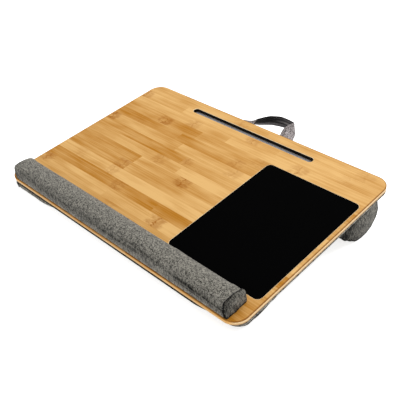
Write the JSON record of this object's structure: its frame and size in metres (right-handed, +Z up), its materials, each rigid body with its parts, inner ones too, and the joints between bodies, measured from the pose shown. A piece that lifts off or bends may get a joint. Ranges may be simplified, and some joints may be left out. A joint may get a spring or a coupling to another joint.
{
  "type": "lap desk",
  "caption": "Bamboo lap desk on two fabric cushions, with a padded wrist rest, a sunk mouse pad, a slot for a tablet or phone and a folding fabric carrying handle.",
  "frame": {"origin": "the middle of the object's footprint, on the surface that it stands on", "axes": "+X to the user's right along the long side, +Y from the user towards the back edge with the handle, +Z up"},
  "size_m": [0.56, 0.4302, 0.0916],
  "materials": {
    "bamboo": "clear satin varnish over laminated bamboo strips",
    "pad": "matte black synthetic leather",
    "heather": "grey heather woven polyester",
    "webbing": "dark grey woven strap",
    "foam": "pale filling under a sewn cover",
    "tape": "thin foam tape",
    "hardboard": "plain hardboard"
  },
  "bodies": {
    "desk": {"bamboo_board": "bamboo", "mouse_pad": "pad", "wrist_rest_cover": "heather", "wrist_rest_foam": "foam", "wrist_rest_backing": "hardboard", "base_panel": "heather", "tape_front": "tape", "tape_back": "tape", "tape_left": "tape", "tape_right": "tape", "rear_cushion_cover": "heather", "rear_cushion_foam": "foam", "front_cushion_cover": "heather", "front_cushion_foam": "foam", "handle_tab_left": "webbing", "handle_tab_right": "webbing"},
    "handle": {"handle_strap": "webbing"}
  },
  "joints": [
    {"name": "handle_fold", "type": "hinge", "parent": "desk", "child": "handle", "pos_m": [0.005, 0.16177, 0.0673], "axis": [1, 0, 0], "range_deg": [-90, 25]}
  ]
}
